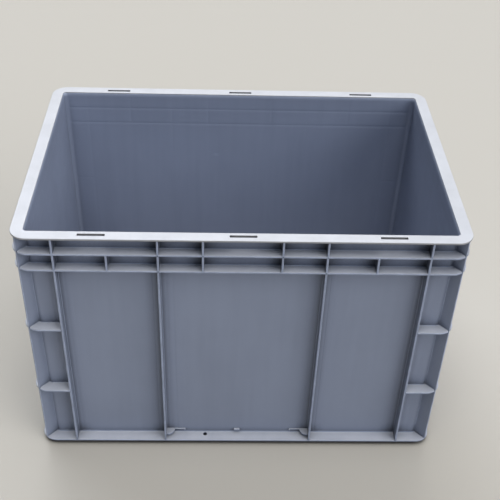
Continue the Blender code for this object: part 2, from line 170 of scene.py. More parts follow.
def shade(piece):
    """Smooth across rounded edges, flat across flat faces."""
    piece.data.shade_smooth()
    piece.data.set_sharp_from_angle(angle=math.radians(SMOOTH_ANGLE))
    modifier = piece.modifiers.new("even_shading", "WEIGHTED_NORMAL")
    modifier.keep_sharp = True
    modifier.weight = 80


def skin(shape, rings, close_around=False, cap_start=True, cap_end=True):
    """Joins rings of the same number of points into one surface."""
    made = [[shape.verts.new(point) for point in ring] for ring in rings]
    pairs = list(zip(made, made[1:]))
    if close_around:
        pairs.append((made[-1], made[0]))
    for first, second in pairs:
        bridge(shape, first, second)
    if cap_start and not close_around:
        shape.faces.new(made[0])
    if cap_end and not close_around:
        shape.faces.new(made[-1])
    return made


def bridge(shape, first, second):
    """A band of faces between two rings of vertices."""
    count = len(first)
    for i in range(count):
        after = (i + 1) % count
        shape.faces.new((first[i], first[after], second[after], second[i]))


def prism(shape, points, low, high):
    """An upright prism over an outline of (x, y) points."""
    skin(shape, [[Vector((x, y, z)) for x, y in points] for z in (low, high)])


def arc(centre, radius, start, end, steps):
    """Points of an arc about centre, from angle start to angle end, both in degrees."""
    points = []
    for step in range(steps + 1):
        angle = math.radians(start + (end - start) * step / steps)
        points.append((centre[0] + radius * math.cos(angle), centre[1] + radius * math.sin(angle)))
    return points


def circle(middle, radius, steps):
    return arc(middle, radius, 0, 360, steps)[:-1]


def blended(low, high, share):
    return low + (high - low) * share


# ------------------------------------------------------------- outlines seen from above

CORNER_STEPS = 10
# A rectangle's corners, anticlockwise: the signs of x and y, and the angle where the arc starts
CORNERS = ((1, -1, 270), (1, 1, 0), (-1, 1, 90), (-1, -1, 180))


def outline(half_x, half_y, radius, places_x, places_y):
    """A rounded rectangle, with extra points at given places along its straight stretches.

    It starts at the front side's left end and runs anticlockwise seen from above.
    """
    runs = (
        [(place, -half_y) for place in places_x],
        [(half_x, place) for place in places_y],
        [(-place, half_y) for place in places_x],
        [(-half_x, -place) for place in places_y],
    )
    points = []
    for run, (sign_x, sign_y, angle) in zip(runs, CORNERS):
        centre = (sign_x * (half_x - radius), sign_y * (half_y - radius))
        points += run + arc(centre, radius, angle, angle + 90, CORNER_STEPS)
    return points


def rounded_rectangle(middle, half_x, half_y, radius, steps):
    points = []
    for sign_x, sign_y, angle in CORNERS:
        centre = (middle[0] + sign_x * (half_x - radius), middle[1] + sign_y * (half_y - radius))
        points += arc(centre, radius, angle, angle + 90, steps)
    return points


def symmetric_places(middles, spread, reach, pitch):
    """Sorted places, the same to both sides.

    They come at every pitch, and at each of the offsets in spread from each middle.
    """
    found = {round(step * pitch, 5) for step in range(int(reach / pitch) + 1)}
    found |= {round(abs(middle + offset), 5) for middle in middles for offset in spread}
    found = sorted(place for place in found if place < reach)
    return [-place for place in reversed(found) if place > 0] + found


PLAIN_PLACES_X = symmetric_places((), (), HALF_LENGTH - 0.03, 0.05)
PLAIN_PLACES_Y = symmetric_places((), (), HALF_WIDTH - 0.03, 0.05)
PLAIN_PLACES = (PLAIN_PLACES_X, PLAIN_PLACES_Y)


# ------------------------------------------------------------- materials


class Graph:
    """A material's nodes, with short names for the few kinds it needs."""

    def __init__(self, name):
        self.material = bpy.data.materials.new(name)
        self.material.use_nodes = True
        self.tree = self.material.node_tree
        self.shader = self.tree.nodes["Principled BSDF"]
        self.place = self.tree.nodes.new("ShaderNodeTexCoord").outputs["Object"]

    def join(self, source, socket):
        self.tree.links.new(source, socket)

    def stretched(self, scale):
        mapping = self.tree.nodes.new("ShaderNodeMapping")
        mapping.inputs["Scale"].default_value = scale
        self.join(self.place, mapping.inputs["Vector"])
        return mapping.outputs["Vector"]

    def noise(self, scale, detail=3.0, roughness=0.55, stretch=None):
        made = self.tree.nodes.new("ShaderNodeTexNoise")
        made.inputs["Scale"].default_value = scale
        made.inputs["Detail"].default_value = detail
        made.inputs["Roughness"].default_value = roughness
        self.join(self.stretched(stretch) if stretch else self.place, made.inputs["Vector"])
        return made.outputs["Fac"]

    def band(self, value, low, high, start=0.0, end=1.0):
        """Maps low..high smoothly to start..end."""
        made = self.tree.nodes.new("ShaderNodeMapRange")
        made.interpolation_type = "SMOOTHSTEP"
        made.inputs["From Min"].default_value = low
        made.inputs["From Max"].default_value = high
        made.inputs["To Min"].default_value = start
        made.inputs["To Max"].default_value = end
        self.join(value, made.inputs["Value"])
        return made.outputs["Result"]

    def math(self, operation, first, second):
        made = self.tree.nodes.new("ShaderNodeMath")
        made.operation = operation
        for socket, value in zip(made.inputs, (first, second)):
            if isinstance(value, float):
                socket.default_value = value
            else:
                self.join(value, socket)
        return made.outputs["Value"]

    def mix(self, share, first, second):
        """Blends two colours; each is a socket or an (r, g, b)."""
        made = self.tree.nodes.new("ShaderNodeMix")
        made.data_type = "RGBA"
        self.join(share, made.inputs["Factor"])
        for socket, value in ((made.inputs[6], first), (made.inputs[7], second)):
            if isinstance(value, tuple):
                socket.default_value = (*value, 1.0)
            else:
                self.join(value, socket)
        return made.outputs[2]

    def normal_part(self, axis):
        geometry = self.tree.nodes.new("ShaderNodeNewGeometry")
        split = self.tree.nodes.new("ShaderNodeSeparateXYZ")
        self.join(geometry.outputs["Normal"], split.inputs["Vector"])
        return split.outputs[axis]

    def edges(self, radius):
        """1 on edges that are tighter than the radius, 0 on flat faces."""
        bevel = self.tree.nodes.new("ShaderNodeBevel")
        bevel.samples = 4
        bevel.inputs["Radius"].default_value = radius
        geometry = self.tree.nodes.new("ShaderNodeNewGeometry")
        dot = self.tree.nodes.new("ShaderNodeVectorMath")
        dot.operation = "DOT_PRODUCT"
        self.join(bevel.outputs["Normal"], dot.inputs[0])
        self.join(geometry.outputs["Normal"], dot.inputs[1])
        return self.band(dot.outputs["Value"], 0.995, 0.90)

    def open_share(self, reach):
        """The share of the half-sphere above a face that nothing covers within the reach."""
        shelter = self.tree.nodes.new("ShaderNodeAmbientOcclusion")
        shelter.samples = 6
        shelter.inputs["Distance"].default_value = reach
        return shelter.outputs["AO"]

    def bump(self, height, strength, distance):
        made = self.tree.nodes.new("ShaderNodeBump")
        made.inputs["Strength"].default_value = strength
        made.inputs["Distance"].default_value = distance
        self.join(height, made.inputs["Height"])
        self.join(made.outputs["Normal"], self.shader.inputs["Normal"])


def scaled(colour, factor):
    return tuple(part * factor for part in colour)


SHELL_COLOUR = (0.225, 0.258, 0.347)
# The rim's plastic, lighter than the shell's: partly a painted sheen of the bright sky that the rim
# reflects.
RIM_COLOUR_WITH_SHEEN = (0.275, 0.28, 0.30)
# Dust, and a painted sheen of sky light, on faces that look up
DUST_AND_SHEEN_COLOUR = (0.58, 0.60, 0.66)
EDGE_HIGHLIGHT_RADIUS = 0.0019  # edges tighter than this get a painted highlight


def moulded_plastic(name, colour, roughness, dust_and_sheen, edge_highlight, painted_shade_reach, painted_shade_band):
    """Moulded polypropylene: mottled and finely grained, scuffed, with painted highlights on open
    edges.

    Dust and a painted sheen of sky light lie on faces that look up, and painted shade lies where
    it's sheltered.
    """
    graph = Graph(name)
    clouds = graph.noise(7.0, 4.0)
    streaks = graph.noise(5.0, 3.0, 0.6, (14.0, 14.0, 1.0))
    blotches = graph.math(
        "ADD", graph.math("MULTIPLY", clouds, 0.6), graph.math("MULTIPLY", streaks, 0.4)
    )
    base = graph.mix(graph.band(blotches, 0.32, 0.68), scaled(colour, 0.955), scaled(colour, 1.045))
    scuffs = graph.band(graph.noise(26.0, 6.0, 0.72, (0.5, 0.5, 1.6)), 0.69, 0.77)
    scuffed = graph.mix(graph.math("MULTIPLY", scuffs, 0.35), base, scaled(colour, 1.55))
    # Faces that look up are lightened: real dust plus a painted sheen of sky light.
    facing_up = graph.band(graph.normal_part("Z"), 0.75, 0.97)
    patchy = graph.band(graph.noise(34.0, 5.0), 0.25, 0.75, dust_and_sheen * 0.75, dust_and_sheen)
    with_dust_and_sheen = graph.mix(graph.math("MULTIPLY", facing_up, patchy), scuffed, DUST_AND_SHEEN_COLOUR)
    openness = graph.open_share(painted_shade_reach)
    # Painted highlight: open edges, and whole narrow faces such as a rib's front, are lightened.
    highlight_mask = graph.math("MULTIPLY", graph.edges(EDGE_HIGHLIGHT_RADIUS), graph.band(openness, 0.75, 0.95))
    highlight_strength = graph.band(graph.noise(55.0, 4.0), 0.35, 0.65, edge_highlight * 0.4, edge_highlight)
    painted_highlight = graph.math("MULTIPLY", highlight_mask, highlight_strength)
    highlighted = graph.mix(painted_highlight, with_dust_and_sheen, scaled(colour, 2.5))
    # Painted shade: sheltered places such as corners, slots and the wall under the rim darken
    # towards 0.07 of the colour, less on faces that look up.
    upright = graph.band(graph.normal_part("Z"), 0.2, 0.8, 1.0, 0.3)
    painted_shade_mask = graph.math("MULTIPLY", graph.band(openness, *painted_shade_band), upright)
    graph.join(graph.mix(painted_shade_mask, highlighted, scaled(colour, 0.07)), graph.shader.inputs["Base Color"])
    dull = graph.band(graph.noise(19.0, 4.0), 0.3, 0.7, roughness - 0.04, roughness + 0.05)
    dull_where_highlighted = graph.math("ADD", dull, graph.math("MULTIPLY", painted_highlight, 0.10))
    graph.join(dull_where_highlighted, graph.shader.inputs["Roughness"])
    graph.bump(graph.noise(850.0, 2.0), 0.16, 0.00012)
    return graph.material


MATERIALS = {
    "shell_plastic": moulded_plastic(
        "shell_plastic",
        SHELL_COLOUR,
        roughness=0.42,
        dust_and_sheen=0.68,
        edge_highlight=1.0,
        painted_shade_reach=0.024,
        painted_shade_band=(0.80, 0.25),
    ),
    "rim_plastic": moulded_plastic(
        "rim_plastic",
        RIM_COLOUR_WITH_SHEEN,
        roughness=0.33,
        dust_and_sheen=0.62,
        edge_highlight=0.4,
        painted_shade_reach=0.008,
        painted_shade_band=(0.96, 0.6),
    ),
}

# ------------------------------------------------------------- tub: walls, corner posts and floor

ALONG = 0
UP = 2


def middles(kind, names, axis):
    """The middles, along an axis, of the front pieces of a kind that have these names."""
    boxes = [side_box(f"front_{kind}_{name}") for name in names]
    return [(low[axis] + high[axis]) / 2 for low, high in boxes]


LONG_RIBS = ("outer_left", "inner_left", "inner_right", "outer_right")
LONG_RIB_PLACES = middles("long_rib", LONG_RIBS, ALONG)
SHORT_RIB_PLACES = middles("short_rib", ("left", "right"), ALONG)
STUB_RIB_PLACES = middles("stub_rib", ("left", "right"), ALONG)
END_RIB_PLACES = (-0.150, 0.150)
BAND_HEIGHTS = middles("band_ledge", ("upper", "lower"), UP)
CORNER_HEIGHTS = middles("corner_ledge", ("upper_left", "lower_left"), UP)
FIRST_RIB = side_box("front_long_rib_outer_left")
RIB_THICKNESS = FIRST_RIB[1].x - FIRST_RIB[0].x

SINK_DEPTH = 0.00034
SINK_WIDTH = 0.0017
SINK_FADE = 0.004  # the marks that end at another rib or ledge fade out over this length
# A sink mark's depth behind each kind of rib or ledge, as a share of SINK_DEPTH
SINK_SHARES = {
    "band": 1.0,
    "corner": 0.8,
    "long_rib": 0.40,
    "short_rib": 0.65,
    "end_band": 0.6,
    "end_rib": 0.30,
}
GROOVE_LINES = (0.0092, 0.0175)  # from the rib's middle
GROOVE_DEPTH = 0.00036
GROOVE_WIDTH = 0.0012

# Distances from a rib's middle where the tub has columns of points, for sink mark and grooves
SINK_SPREAD = [-0.0045, -0.0028, -0.0014, 0.0, 0.0014, 0.0028, 0.0045]
for groove_line in GROOVE_LINES:
    for step_across in (-0.0014, 0.0, 0.0014):
        SINK_SPREAD += [groove_line + step_across, -groove_line - step_across]
# Distances from a ledge's middle height where the tub's inner face has rows of points
SINK_ROWS = (0.0, 0.0010, 0.0018, 0.0026, 0.0036, 0.0050)
INNER_ROWS = (0.02, 0.05, 0.08, 0.15, 0.18, 0.21, 0.27, 0.30, 0.33, 0.36)
OUTER_ROWS = (0.31, 0.27, 0.20, 0.13, 0.07, 0.03)
TUB_IN_RIM = 0.0012  # how far the walls reach up into the rim
FOOT_ROUND = 0.0006
# The opening's flared edge: (how far it is moved out, how far below the top)
LEAD_IN = ((0.0, 0.0065), (0.00015, 0.0045), (0.0005, 0.0030), (0.0010, 0.0020), (0.00145, 0.0012))


def dent(distance, width=SINK_WIDTH):
    """How deep a sink mark is at a distance from its middle line, as a share of its full depth."""
    return math.exp(-((distance / width) ** 2))


def sink(side, along, z):
    """How far the inner face sinks out, towards the ribs and ledges on the outside."""
    if side in ("front", "rear"):
        past_outer_rib = (abs(along) - LONG_RIB_PLACES[-1] + SINK_FADE / 2) / SINK_FADE
        beyond = SINK_SHARES["corner"] * max(0.0, min(1.0, past_outer_rib))
        above_band = 1.0 / (1.0 + math.exp(-(z - BAND_HEIGHTS[1]) / (SINK_FADE / 2)))
        above = SINK_SHARES["short_rib"] * above_band
        marks = [SINK_SHARES["band"] * dent(z - height) for height in BAND_HEIGHTS]
        marks += [beyond * dent(z - height) for height in CORNER_HEIGHTS]
        marks += [SINK_SHARES["long_rib"] * dent(along - place) for place in LONG_RIB_PLACES]
        marks += [above * dent(along - place) for place in SHORT_RIB_PLACES + STUB_RIB_PLACES]
    else:
        marks = [SINK_SHARES["end_band"] * dent(z - height) for height in BAND_HEIGHTS]
        marks += [SINK_SHARES["end_rib"] * dent(along - place) for place in END_RIB_PLACES]
    return max(marks) * SINK_DEPTH


def groove(side, along, z):
    """How far the outer face moves out: below zero in the faint upright lines beside long ribs."""
    if side in ("front", "rear") and z < BAND_HEIGHTS[1]:
        away = [abs(along - place) for place in LONG_RIB_PLACES]
        nearest = min(abs(distance - line) for distance in away for line in GROOVE_LINES)
        return -GROOVE_DEPTH * dent(nearest, GROOVE_WIDTH)
    return 0.0


def which_side(x, y, half_x, half_y, radius):
    """The side that a point of an outline lies on, or None in a rounded corner."""
    if abs(x) <= half_x - radius + 1e-6:
        return "front" if y < 0 else "rear"
    if abs(y) <= half_y - radius + 1e-6:
        return "right" if x > 0 else "left"
    return None


TUB_COLUMNS_X = symmetric_places(
    LONG_RIB_PLACES + SHORT_RIB_PLACES + STUB_RIB_PLACES, SINK_SPREAD, HALF_LENGTH - 0.0295, 0.03
)
TUB_COLUMNS_Y = symmetric_places(END_RIB_PLACES, SINK_SPREAD, HALF_WIDTH - 0.0295, 0.03)


def tub_ring(inset, radius, z, distance=None):
    """The tub's outline at a height; distance(side, along, z) moves its straight stretches out."""
    half_x = HALF_LENGTH - inset
    half_y = HALF_WIDTH - inset
    ring = []
    for x, y in outline(half_x, half_y, radius, TUB_COLUMNS_X, TUB_COLUMNS_Y):
        point = Vector((x, y, z))
        side = which_side(x, y, half_x, half_y, radius)
        if distance and side:
            along_axis, out_axis, _, _ = SIDES[side]
            point += out_axis * distance(side, point.dot(along_axis), z)
        ring.append(point)
    return ring


def outside_rings():
    """The outer face down to the foot, then up inside the foot to the floor's underside."""
    groove_end = BAND_HEIGHTS[1]
    rows = [RIM_UNDERSIDE + TUB_IN_RIM, groove_end + 0.0002, groove_end - 0.0010]
    rows += [*OUTER_ROWS, FOOT_ROUND]
    rings = [tub_ring(wall_inset(z), TUB_OUTER_RADIUS, z, groove) for z in rows]
    foot_inset = wall_inset(0) + WALL_THICKNESS
    rings.append(tub_ring(wall_inset(0) + FOOT_ROUND, TUB_OUTER_RADIUS - FOOT_ROUND, 0.0))
    rings.append(tub_ring(foot_inset - FOOT_ROUND, TUB_INNER_RADIUS + FOOT_ROUND, 0.0))
    rings.append(tub_ring(foot_inset, TUB_INNER_RADIUS, FOOT_ROUND))
    rings.append(tub_ring(foot_inset, TUB_INNER_RADIUS, FLOOR_TOP - FLOOR_THICKNESS))
    return rings


def inside_rings():
    """The floor's edge, its fillet into the walls, and the inner face up to its flared edge."""
    rings = []
    for spread, rise in arc((FLOOR_FILLET, FLOOR_FILLET), FLOOR_FILLET, 270, 180, 4):
        z = FLOOR_TOP + rise
        inset = wall_inset(z) + WALL_THICKNESS + spread
        rings.append(tub_ring(inset, TUB_INNER_RADIUS - spread, z))
    rows = set(INNER_ROWS)
    for height in BAND_HEIGHTS + CORNER_HEIGHTS:
        for step in SINK_ROWS:
            rows |= {round(height - step, 5), round(height + step, 5)}
    highest_row = TOP - LEAD_IN[0][1] - 0.001
    for z in sorted(row for row in rows if row < highest_row):
        rings.append(tub_ring(wall_inset(z) + WALL_THICKNESS, TUB_INNER_RADIUS, z, sink))
    for outward, below_top in LEAD_IN:
        z = TOP - below_top
        inset = wall_inset(z) + WALL_THICKNESS - outward
        rings.append(tub_ring(inset, TUB_INNER_RADIUS - outward, z))
    return rings


def build_tub():
    shape = bmesh.new()
    outer = skin(shape, outside_rings(), cap_start=False)
    inner = skin(shape, inside_rings(), cap_end=False)
    bridge(shape, outer[0], inner[-1])
    finished("tub", shape, "shell_plastic", [f"{side}_wall" for side in SIDES] + ["floor_panel"])


# ------------------------------------------------------------- rim, ledges and flange


def strip_section(width, low, high, fillet):
    """A ledge's section, (distance from its root line, z), filleted there and round at its edge."""
    fillet = min(fillet, width * 0.35)
    edge = min(EDGE_ROUND, width * 0.3)
    section = [(-EMBED, high + fillet)]
    section += arc((fillet, high + fillet), fillet, 180, 270, 3)
    section += arc((width - edge, high - edge), edge, 90, 0, 3)
    section += arc((width - edge, low + edge), edge, 0, -90, 3)
    section += arc((fillet, low - fillet), fillet, 90, 180, 3)
    section.append((-EMBED, low - fillet))
    return section


def laid_out(section, start, end):
    """A section's points in space; each is given as (distance from start towards end, z)."""
    start = Vector(start)
    direction = (Vector(end) - start).normalized()
    ring = []
    for distance, z in section:
        spot = start + direction * distance
        ring.append(Vector((spot.x, spot.y, z)))
    return ring


def strip(shape, inner, outer, low, high, fillet=ROOT_FILLET, around=False):
    """A flat strip between an inner and an outer line, given as matching points in the XY plane."""
    rings = []
    for start, end in zip(inner, outer):
        rings.append(laid_out(strip_section(math.dist(start, end), low, high, fillet), start, end))
    skin(shape, rings, close_around=around)


def rim_section(width):
    """The rim's section, from its inner edge out: flat on top, every edge rounded."""
    radius = RIM_EDGE_ROUND
    low = RIM_UNDERSIDE + radius
    high = TOP - radius
    section = arc((radius, low), radius, 270, 180, 3)
    section += arc((radius, high), radius, 180, 90, 3)
    section += arc((width - radius, high), radius, 90, 0, 4)
    section += arc((width - radius, low), radius, 0, -90, 3)
    return section


def cutter(name, shape):
    bmesh.ops.recalc_face_normals(shape, faces=shape.faces)
    return mesh_object(name, shape)


def cut(piece, tool):
    """Takes the tool's shape out of the piece, then removes the tool."""
    piece.modifiers.clear()
    modifier = piece.modifiers.new("cut", "BOOLEAN")
    modifier.operation = "DIFFERENCE"
    modifier.solver = "EXACT"
    modifier.object = tool
    bpy.context.view_layer.update()
    evaluated = piece.evaluated_get(bpy.context.evaluated_depsgraph_get())
    result = bpy.data.meshes.new_from_object(evaluated)
    piece.modifiers.clear()
    old = piece.data
    piece.data = result
    bpy.data.meshes.remove(old)
    bpy.data.objects.remove(tool)
    shade(piece)


SLOT_LENGTH = 0.0355
SLOT_WIDTH = 0.0044
SLOT_FROM_EDGE = 0.0097
SLOT_PLACES = (-0.195, 0.0, 0.195)
SLOT_ROUND = 0.0007
SLOT_FLARE = 0.00025


def slot_cutter():
    """The slots' shape, flared at the rim's top so that their edges are rounded."""
    shape = bmesh.new()
    levels = (
        (TOP + 0.002, SLOT_FLARE * 2),
        (TOP, SLOT_FLARE),
        (TOP - SLOT_FLARE * 0.5, SLOT_FLARE * 0.35),
        (TOP - SLOT_FLARE * 1.2, 0.0),
        (RIM_UNDERSIDE - 0.002, 0.0),
    )
    for across in (-(HALF_WIDTH - SLOT_FROM_EDGE), HALF_WIDTH - SLOT_FROM_EDGE):
        for along in SLOT_PLACES:
            rings = []
            for z, grow in levels:
                reach = (SLOT_LENGTH / 2 + grow, SLOT_WIDTH / 2 + grow)
                flat = rounded_rectangle((along, across), *reach, SLOT_ROUND, 3)
                rings.append([Vector((x, y, z)) for x, y in flat])
            skin(shape, rings)
    return cutter("slot_cutter", shape)


def build_rim():
    inner_size = (HALF_LENGTH - RIM_WIDTH, HALF_WIDTH - RIM_WIDTH)
    inner = outline(*inner_size, RIM_INNER_RADIUS, *PLAIN_PLACES)
    outer = outline(HALF_LENGTH, HALF_WIDTH, RIM_OUTER_RADIUS, *PLAIN_PLACES)
    rings = []
    for start, end in zip(inner, outer):
        rings.append(laid_out(rim_section(math.dist(start, end)), start, end))
    shape = bmesh.new()
    skin(shape, rings, close_around=True)
    piece = finished("rim", shape, "rim_plastic", [f"rim_{side}" for side in SIDES])
    cut(piece, slot_cutter())


DRAIN_ALONG = -0.050
DRAIN_RADIUS = 0.0030
PIP_ALONG = 0.0357
PIP_RADIUS = 0.0021
PIP_RISE = 0.0004
# The middles of the drain hole and of the pip lie this far out from the front wall's face
DRAIN_OUT = 0.0051
DRAIN_Y = -(HALF_WIDTH - wall_inset(FLANGE_HIGH) + DRAIN_OUT)


def build_flange():
    inset = wall_inset(FLANGE_HIGH)
    inner = outline(HALF_LENGTH - inset, HALF_WIDTH - inset, TUB_OUTER_RADIUS, *PLAIN_PLACES)
    outer_size = (HALF_LENGTH - FLANGE_SETBACK, HALF_WIDTH - FLANGE_SETBACK)
    outer = outline(*outer_size, LEDGE_RADIUS, *PLAIN_PLACES)
    shape = bmesh.new()
    strip(shape, inner, outer, FLANGE_LOW, FLANGE_HIGH, fillet=FLANGE_FILLET, around=True)
    add_pip(shape)
    replaced = [f"{side}_base_flange" for side in SIDES]
    piece = finished("base_flange", shape, "shell_plastic", replaced)
    cut(piece, drain_cutter())


def add_pip(shape):
    """The low moulded pip on the front flange, beyond the card stop from the drain hole."""
    levels = ((-0.0005, 0.0), (PIP_RISE * 0.4, 0.0), (PIP_RISE * 0.8, 0.0003), (PIP_RISE, 0.0009))
    rings = []
    for rise, shrink in levels:
        flat = circle((PIP_ALONG, DRAIN_Y), PIP_RADIUS - shrink, 16)
        rings.append([Vector((x, y, FLANGE_HIGH + rise)) for x, y in flat])
    skin(shape, rings)


def drain_cutter():
    """The drain hole's shape, flared at the flange's top."""
    levels = (
        (FLANGE_HIGH + 0.001, 0.0012),
        (FLANGE_HIGH, 0.0005),
        (FLANGE_HIGH - 0.0004, 0.0),
        (FLANGE_LOW - 0.001, 0.0),
    )
    shape = bmesh.new()
    rings = []
    for z, grow in levels:
        flat = circle((DRAIN_ALONG, DRAIN_Y), DRAIN_RADIUS + grow, 20)
        rings.append([Vector((x, y, z)) for x, y in flat])
    skin(shape, rings)
    return cutter("drain_cutter", shape)


# Corner geometry shared by ledges and fins, in one quarter of the plan (+along, +out)


def corner_lines(half_length, half_depth, z, start_along):
    """A ledge's end beside a fin: its inner and outer points, from start_along to the fin's tip."""
    inset = wall_inset(z)
    wall = half_depth - inset
    bend = half_length - inset - TUB_OUTER_RADIUS
    front = half_depth - FLANGE_SETBACK
    ledge_centre = (half_length - FLANGE_SETBACK - LEDGE_RADIUS, front - LEDGE_RADIUS)
    tub_arc = arc((bend, wall - TUB_OUTER_RADIUS), TUB_OUTER_RADIUS, 90, 52, 3)[1:]
    ledge_arc = arc(ledge_centre, LEDGE_RADIUS, 92, 47, 8)
    root = tub_arc[-1]
    tip = ledge_arc[-1]
    inner = [(start_along, wall), (bend, wall)] + tub_arc
    steps = 6
    for step in range(1, steps):
        share = step / steps
        inner.append((blended(root[0], tip[0], share), blended(root[1], tip[1], share)))
    outer = [(start_along, front), (blended(start_along, ledge_centre[0], 0.8), front)]
    outer += [(along, min(out, front)) for along, out in ledge_arc[:-1]]
    return inner, outer


def mirrored(line):
    """A line's mirror image in along = 0, then the line itself."""
    return [(-along, out) for along, out in reversed(line)] + line


BAND_LEDGE_MIDDLE = 0.10  # half the length of a band ledge's plain middle stretch


def build_band_ledge(node_name):
    _, _, half_length, half_depth = SIDES[side_of(node_name)]
    low, high = side_box(node_name)
    inner, outer = corner_lines(half_length, half_depth, high.z, BAND_LEDGE_MIDDLE)
    shape = bmesh.new()
    strip(shape, mirrored(inner), mirrored(outer), low.z, high.z)
    side_piece(node_name, shape)


def build_corner_ledge(node_name):
    _, _, half_length, half_depth = SIDES[side_of(node_name)]
    low, high = side_box(node_name)
    inner, outer = corner_lines(half_length, half_depth, high.z, LONG_RIB_PLACES[-1])
    shape = bmesh.new()
    strip(shape, inner, outer, low.z, high.z)
    side_piece(node_name, shape, -1 if node_name.endswith("left") else 1)


# ------------------------------------------------------------- ribs and fins


def rib_section(half_thickness, root, front, fillet=ROOT_FILLET):
    """Half a rib's section seen from above: (distance from its middle plane, out)."""
    half = [(half_thickness + fillet, root - EMBED)]
    half += arc((half_thickness + fillet, root + fillet), fillet, 270, 180, 3)
    half += arc((half_thickness - EDGE_ROUND, front - EDGE_ROUND), EDGE_ROUND, 0, 90, 3)
    return half


def add_rib(shape, middle, half_depth, front, low, high):
    """An upright rib on a leaning wall, between two heights."""
    rings = []
    for z in (low, high):
        half = rib_section(RIB_THICKNESS / 2, half_depth - wall_inset(z), front)
        ring = [(middle + away, out) for away, out in half]
        ring += [(middle - away, out) for away, out in reversed(half)]
        rings.append([Vector((along, out, z)) for along, out in ring])
    skin(shape, rings)


def build_rib(node_name):
    half_depth = SIDES[side_of(node_name)][3]
    low, high = side_box(node_name)
    shape = bmesh.new()
    add_rib(shape, (low.x + high.x) / 2, half_depth, high.y, low.z - EMBED, high.z + EMBED)
    side_piece(node_name, shape)


def corner_point(sign_x, sign_y, inset, z):
    return Vector((sign_x * (HALF_LENGTH - inset), sign_y * (HALF_WIDTH - inset), z))


FIN_SUNK = 0.00015  # how far a fin's root lies below the tub's rounded corner


def build_fin(corner, sign_x, sign_y):
    """The 45 degree fin of one corner, growing from the tub's rounded corner."""
    diagonal = Vector((sign_x, sign_y, 0)).normalized()
    across = Vector((-diagonal.y, diagonal.x, 0))
    tip_inset = FLANGE_SETBACK + LEDGE_RADIUS * (1 - 1 / math.sqrt(2))
    rings = []
    for z in (FLANGE_HIGH - EMBED, RIM_UNDERSIDE + EMBED):
        arc_centre = corner_point(sign_x, sign_y, wall_inset(z) + TUB_OUTER_RADIUS, z)
        root = arc_centre + diagonal * (TUB_OUTER_RADIUS - FIN_SUNK)
        tip = corner_point(sign_x, sign_y, tip_inset, z)
        half = rib_section(FIN_THICKNESS / 2, 0.0, (tip - root).length)
        ring = [root + across * away + diagonal * out for away, out in half]
        ring += [root - across * away + diagonal * out for away, out in reversed(half)]
        rings.append(ring)
    shape = bmesh.new()
    skin(shape, rings)
    finished(f"corner_fin_{corner}", shape, "shell_plastic", [f"corner_post_{corner}"])


# ------------------------------------------------------------- ends: brackets and grips


def add_end_ledge(shape, inner, outer, height):
    strip(shape, inner, outer, height - LEDGE_THICKNESS / 2, height + LEDGE_THICKNESS / 2)


def build_corner_bracket(node_name):
    """An end rib with the four ledges that run from it to the corner fin."""
    _, _, half_length, half_depth = SIDES[side_of(node_name)]
    low, high = side_box(node_name)
    rib_place = END_RIB_PLACES[1]
    shape = bmesh.new()
    add_rib(shape, rib_place, half_depth, high.y, low.z - EMBED, high.z + EMBED)
    for height in BAND_HEIGHTS + CORNER_HEIGHTS:
        add_end_ledge(shape, *corner_lines(half_length, half_depth, height, rib_place), height)
    side_piece(node_name, shape, -1 if node_name.endswith("a") else 1)


def build_grip_bracket(node_name):
    """A rib beside the grip, with the two short ledges that run from it to the end rib."""
    half_depth = SIDES[side_of(node_name)][3]
    low, high = side_box(node_name)
    middle = min(abs(low.x), abs(high.x)) + RIB_THICKNESS / 2
    far = max(abs(low.x), abs(high.x)) + EMBED
    shape = bmesh.new()
    add_rib(shape, middle, half_depth, high.y, low.z, high.z + EMBED)
    for height in BAND_HEIGHTS:
        wall = half_depth - wall_inset(height)
        inner = [(middle, wall), (far, wall)]
        outer = [(middle, high.y), (far, high.y)]
        add_end_ledge(shape, inner, outer, height)
    side_piece(node_name, shape, 1 if node_name.endswith("b") else -1)


GRIP_CORNER_RADIUS = 0.009
GRIP_EDGE_ROUND = 0.0008


def build_grip_shell(node_name):
    low, high = side_box(node_name)
    half_width = high.x + EMBED
    corner = (half_width - GRIP_CORNER_RADIUS, low.z + GRIP_CORNER_RADIUS)
    edge = GRIP_EDGE_ROUND

    def ring(out, shrink):
        right = [(half_width - shrink, high.z + EMBED)]
        right += arc(corner, GRIP_CORNER_RADIUS - shrink, 0, -90, 8)
        left = [(-along, z) for along, z in reversed(right)]
        return [Vector((along, out, z)) for along, z in right + left]

    shape = bmesh.new()
    rings = [
        ring(low.y, edge),
        ring(low.y + edge * 0.3, edge * 0.3),
        ring(low.y + edge, 0.0),
        ring(high.y - edge, 0.0),
        ring(high.y - edge * 0.3, edge * 0.3),
        ring(high.y, edge),
    ]
    skin(shape, rings)
    side_piece(node_name, shape)


# ------------------------------------------------------------- card clips


CLIP_FINGER_DEPTH = 0.0018
CLIP_FINGER_END = 0.0034  # how far the finger's raised end stands out from the wall
CLIP_ROUND = (100, 168, 6)  # the round corner's arc: from and to in degrees, and its steps
CLIP_ROUND_SHIFT = 0.001  # from the clip's far side to the middle of its round corner
CLIP_SKIRT = 0.0026  # how far the clip's rounded edge turns down below its plate
CLIP_SKIRT_SETBACK = 0.0006
CLIP_OVERLAP = 0.0004  # how far the skirt reaches up into the plate


def bevelled(piece, width):
    modifier = piece.modifiers.new("rounded_edges", "BEVEL")
    modifier.width = width
    modifier.segments = 2
    modifier.limit_method = "ANGLE"
    modifier.angle_limit = math.radians(SMOOTH_ANGLE)


